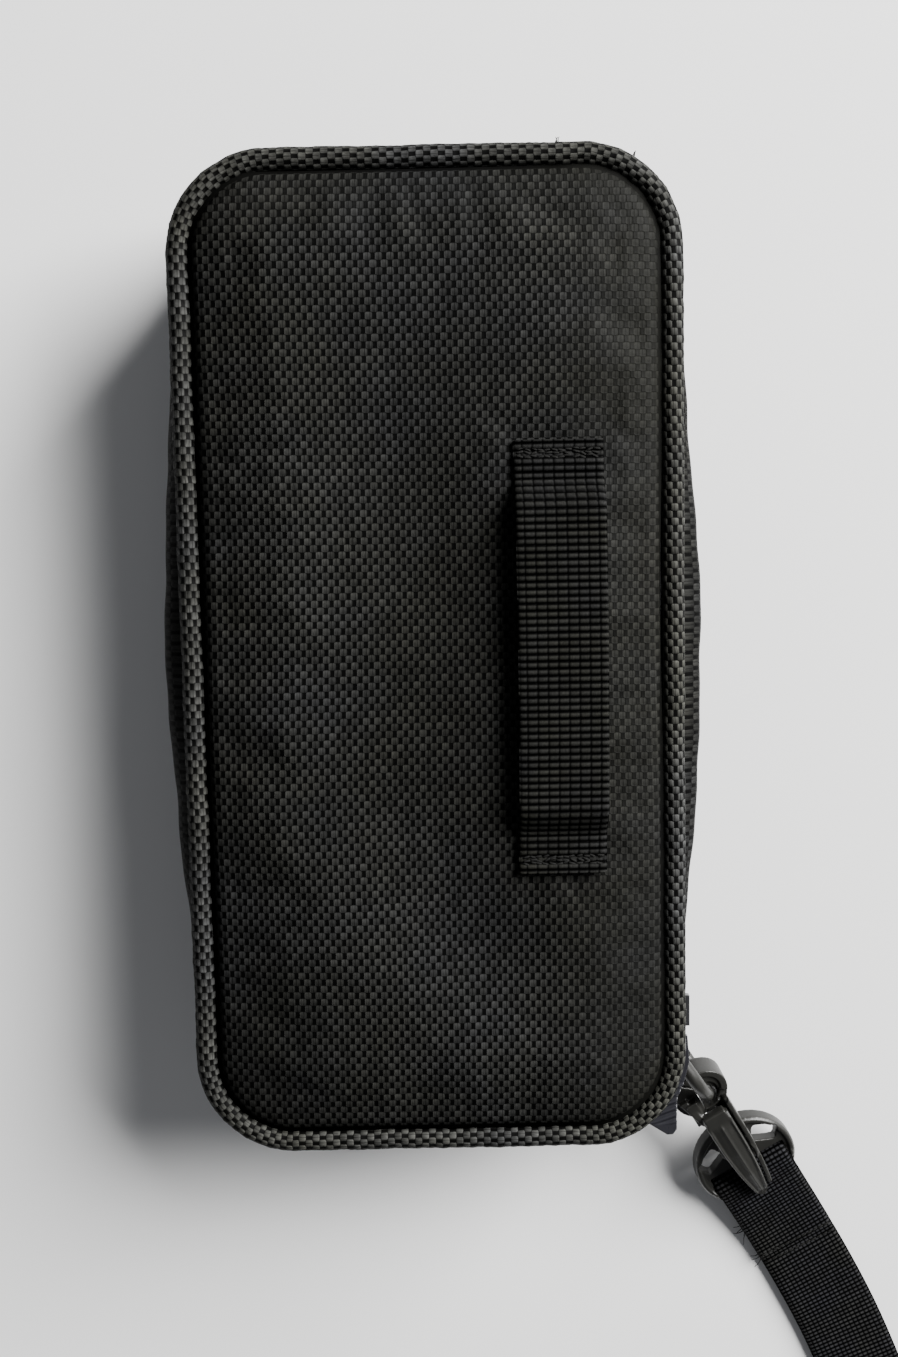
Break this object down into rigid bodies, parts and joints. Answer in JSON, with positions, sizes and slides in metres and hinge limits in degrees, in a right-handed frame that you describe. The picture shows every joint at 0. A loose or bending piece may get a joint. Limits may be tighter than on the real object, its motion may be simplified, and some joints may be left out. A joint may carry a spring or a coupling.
{
  "type": "zippered soft carrying case",
  "caption": "Zippered soft carrying case in coarse woven nylon, with corded piping, a webbing belt loop, a side ring, and a swivel snap hook on a webbing hand strap.",
  "frame": {"origin": "centre of the front panel's resting face; the case lies on it with the belt loop up", "axes": "+Y along the case, away from the hook end; +Z out of the back panel with the belt loop; +X towards the side with the zipper slider and the ring"},
  "size_m": [0.2007, 0.3905, 0.0574],
  "materials": {
    "panel_fabric": "coarse basket-woven nylon, near black, satin yarns",
    "piping_fabric": "woven nylon wrapped round a cord, near black",
    "wall_fabric": "woven nylon, near black",
    "lining_fabric": "smooth woven lining, dark grey",
    "binding": "ribbed edge tape, black",
    "foam": "soft closed-cell foam, grey",
    "board": "stiffening sheet, dark grey",
    "cord": "extruded filler cord, off white",
    "zipper_tape": "woven tape, black",
    "zipper_teeth": "moulded nylon, black",
    "webbing": "ribbed webbing, black",
    "strap_webbing": "plain woven webbing, black",
    "thread": "sewing thread, black",
    "slider_metal": "black lacquer, slightly worn",
    "pull_plastic": "glossy moulded black",
    "hardware_plastic": "satin moulded black",
    "steel": "bright steel"
  },
  "bodies": {
    "front_shell": {"front_panel": "panel_fabric", "front_foam": "foam", "front_board": "board", "front_lining": "lining_fabric", "front_piping": "piping_fabric", "front_piping_cord": "cord", "front_gusset": "wall_fabric", "front_binding": "binding", "zipper_tape_front": "zipper_tape", "zipper_teeth_front": "zipper_teeth", "zipper_stops": "slider_metal", "hinge_tape_front": "wall_fabric", "ring_tab": "webbing", "ring_tab_stitches": "thread"},
    "back_shell": {"back_panel": "panel_fabric", "back_foam": "foam", "back_board": "board", "back_lining": "lining_fabric", "back_piping": "piping_fabric", "back_piping_cord": "cord", "back_gusset": "wall_fabric", "back_binding": "binding", "zipper_tape_back": "zipper_tape", "zipper_teeth_back": "zipper_teeth", "hinge_tape_back": "wall_fabric", "belt_loop": "webbing", "belt_loop_stitches": "thread"},
    "slider": {"slider_body": "slider_metal"},
    "link": {"pull_link": "slider_metal"},
    "pull": {"pull_tab": "pull_plastic"},
    "ring": {"d_ring": "hardware_plastic"},
    "hook": {"hook_frame": "hardware_plastic", "gate_spring": "steel"},
    "lever": {"gate_lever": "hardware_plastic", "lever_pin": "steel"},
    "loop": {"swivel_loop": "hardware_plastic"},
    "strap": {"strap_webbing": "strap_webbing", "strap_stitches": "thread"}
  },
  "joints": [
    {"name": "lid_hinge", "type": "hinge", "parent": "front_shell", "child": "back_shell", "pos_m": [0, -0.1104, 0.0295], "axis": [1, 0, 0], "range_deg": [0, 180]},
    {"name": "zipper_slide", "type": "slide", "parent": "front_shell", "child": "slider", "axis": [0, 1, 0], "range_m": [0, 0.16]},
    {"name": "link_swing", "type": "hinge", "parent": "slider", "child": "link", "pos_m": [0.0565, -0.0865, 0.0295], "axis": [0, 0, 1], "range_deg": [0, 125]},
    {"name": "pull_swing", "type": "hinge", "parent": "link", "child": "pull", "pos_m": [0.0565, -0.0931, 0.0295], "axis": [0, 0, 1], "range_deg": [-8, 65]},
    {"name": "ring_swing", "type": "hinge", "parent": "front_shell", "child": "ring", "pos_m": [0.05684, -0.09862, 0.014], "axis": [0, 0, 1], "range_deg": [-45, 95]},
    {"name": "hook_swing", "type": "hinge", "parent": "ring", "child": "hook", "pos_m": [0.06495, -0.11064, 0.014], "axis": [0, 0, 1], "range_deg": [-40, 40]},
    {"name": "gate_open", "type": "hinge", "parent": "hook", "child": "lever", "pos_m": [0.06762, -0.117, 0.01645], "axis": [-0.866, -0.5, 0], "range_deg": [0, 20], "stiffness_Nm_per_rad": 0.05, "springref_deg": -11.46},
    {"name": "swivel_turn", "type": "hinge", "parent": "hook", "child": "loop", "pos_m": [0.07276, -0.1259, 0.0084], "axis": [-0.1378, 0.2387, -0.9613], "range_deg": [-90, 90]},
    {"name": "strap_swing", "type": "hinge", "parent": "loop", "child": "strap", "pos_m": [0.07787, -0.13475, 0.00522], "axis": [-0.866, -0.5, 0], "range_deg": [-60, 10]}
  ]
}
